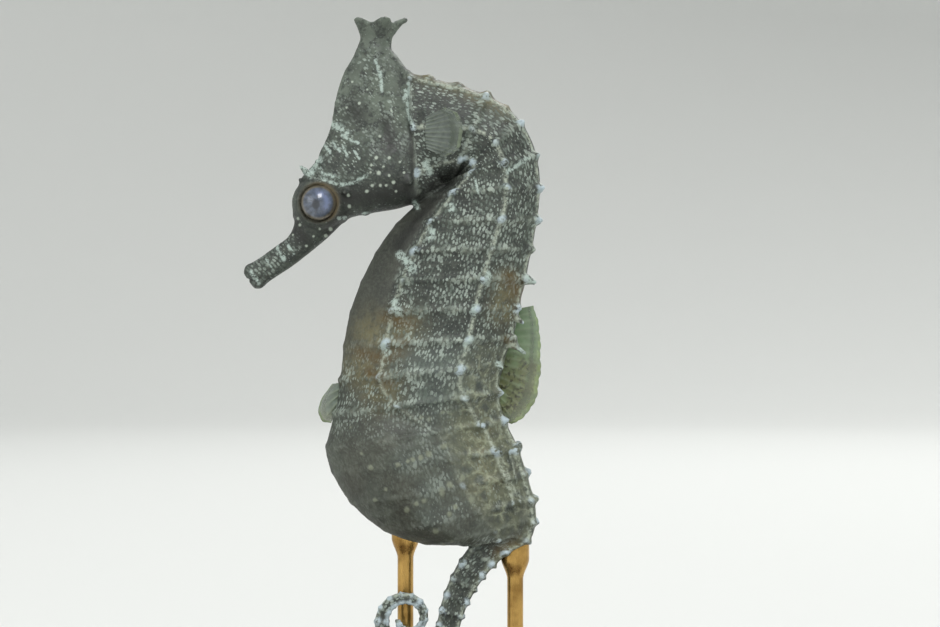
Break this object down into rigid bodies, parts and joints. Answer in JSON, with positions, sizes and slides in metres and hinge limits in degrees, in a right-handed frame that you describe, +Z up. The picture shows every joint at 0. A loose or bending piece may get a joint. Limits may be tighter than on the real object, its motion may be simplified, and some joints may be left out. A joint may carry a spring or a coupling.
{
  "type": "seahorse model",
  "caption": "Life-size still model of a brooding male seahorse with a tall coronet and curled tail, held upright by thin rods on a flat base.",
  "frame": {"origin": "centre of the stand base's underside, which is the lowest face", "axes": "+Z up; the animal faces -X and its plane of symmetry is Y = 0, so its left side faces -Y"},
  "size_m": [0.056, 0.036, 0.0916],
  "materials": {
    "skin": "satin painted skin over bony rings: dark grey-olive with pale speckle rows, pale ridge nodes and rust patches",
    "eye": "glossy blue-violet iris with a dark pupil and a brown-gold rim",
    "fin": "thin translucent rayed fin, olive spotted",
    "base_wood": "dark satin wood, eased edges",
    "rod_brass": "satin brass rod"
  },
  "bodies": {
    "root": {"head": "skin", "snout": "skin", "coronet": "skin", "neck": "skin", "chest": "skin", "trunk": "skin", "brood_pouch": "skin", "tail_base": "skin", "tail_bend": "skin", "tail_sweep": "skin", "tail_curl": "skin", "tail_tip": "skin", "eye_left": "eye", "eye_right": "eye", "dorsal_fin": "fin", "anal_fin": "fin", "pectoral_fin_left": "fin", "pectoral_fin_right": "fin", "stand_base": "base_wood", "stand_rod_tail": "rod_brass", "stand_rod_pouch": "rod_brass"}
  },
  "joints": []
}
